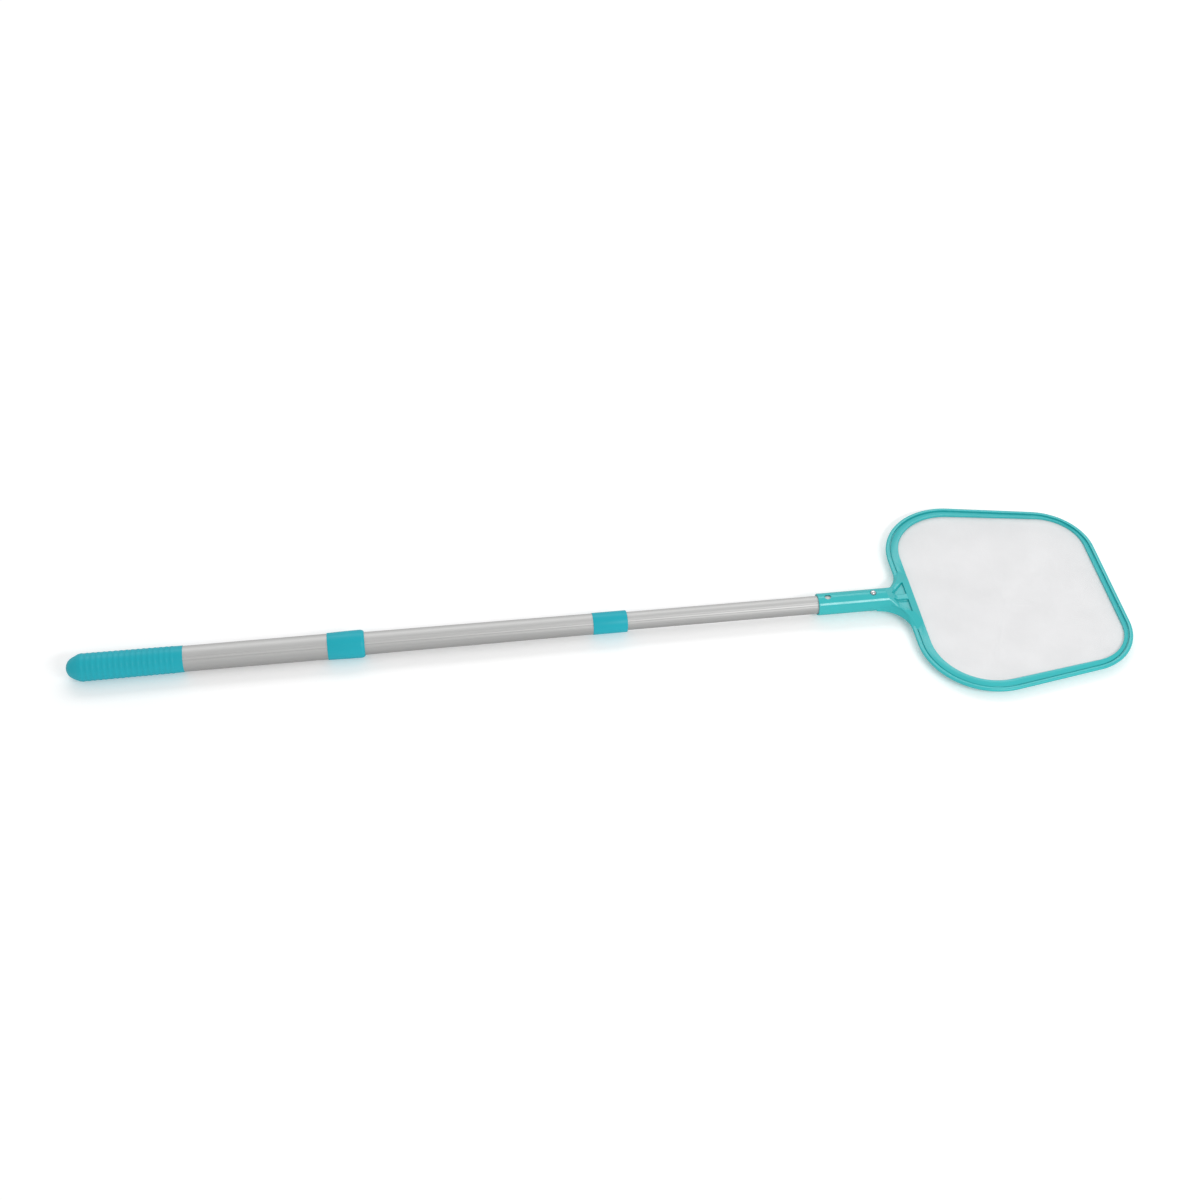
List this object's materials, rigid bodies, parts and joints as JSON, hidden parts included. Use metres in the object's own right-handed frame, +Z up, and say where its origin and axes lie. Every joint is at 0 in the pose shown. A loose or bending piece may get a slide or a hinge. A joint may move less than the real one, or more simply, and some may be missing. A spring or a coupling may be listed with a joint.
{
  "type": "leaf skimmer net",
  "caption": "Leaf skimmer net: telescopic aluminium pole with a ribbed grip and twist-lock collars, and a shallow framed net head held by a snap button.",
  "frame": {"origin": "on the ground under the middle of the part's whole length, straight below the pole's axis", "axes": "+X along the pole from the grip to the net, +Z up out of the net's open face, +Y to the left of the pole seen from the grip"},
  "size_m": [1.1418, 0.2826, 0.03],
  "materials": {
    "grip_plastic": "satin moulded",
    "head_plastic": "satin moulded",
    "tube_aluminium": "satin anodised",
    "lock_nylon": "as moulded",
    "spring_steel": "polished",
    "net_nylon": "fine woven mesh"
  },
  "bodies": {
    "grip_section": {"hand_grip": "grip_plastic", "outer_tube": "tube_aluminium", "outer_collar": "grip_plastic"},
    "outer_lock": {"outer_lock_ring": "lock_nylon"},
    "middle_section": {"middle_cam_plug": "lock_nylon", "middle_tube": "tube_aluminium", "middle_collar": "grip_plastic"},
    "inner_lock": {"inner_lock_ring": "lock_nylon"},
    "head_section": {"inner_cam_plug": "lock_nylon", "inner_tube": "tube_aluminium", "button_spring": "spring_steel", "skimmer_frame": "head_plastic", "net_retaining_ring": "head_plastic", "net_mesh": "net_nylon"},
    "button": {"snap_button": "spring_steel"}
  },
  "joints": [
    {"name": "middle_slide", "type": "slide", "parent": "grip_section", "child": "outer_lock", "axis": [1, 0, 0], "range_m": [-0.243, 0]},
    {"name": "middle_twist", "type": "hinge", "parent": "outer_lock", "child": "middle_section", "pos_m": [-0.2984, 0, 0.0158], "axis": [1, 0, 0], "range_deg": [-30, 30]},
    {"name": "inner_slide", "type": "slide", "parent": "middle_section", "child": "inner_lock", "axis": [1, 0, 0], "range_m": [-0.2105, 0]},
    {"name": "inner_twist", "type": "hinge", "parent": "inner_lock", "child": "head_section", "pos_m": [-0.0174, 0, 0.0158], "axis": [1, 0, 0], "range_deg": [-30, 30]},
    {"name": "button_press", "type": "slide", "parent": "head_section", "child": "button", "axis": [0, 0, -1], "range_m": [0, 0.004], "stiffness_N_per_m": 1500, "springref_m": -0.003, "deforming": ["button_spring"]}
  ]
}
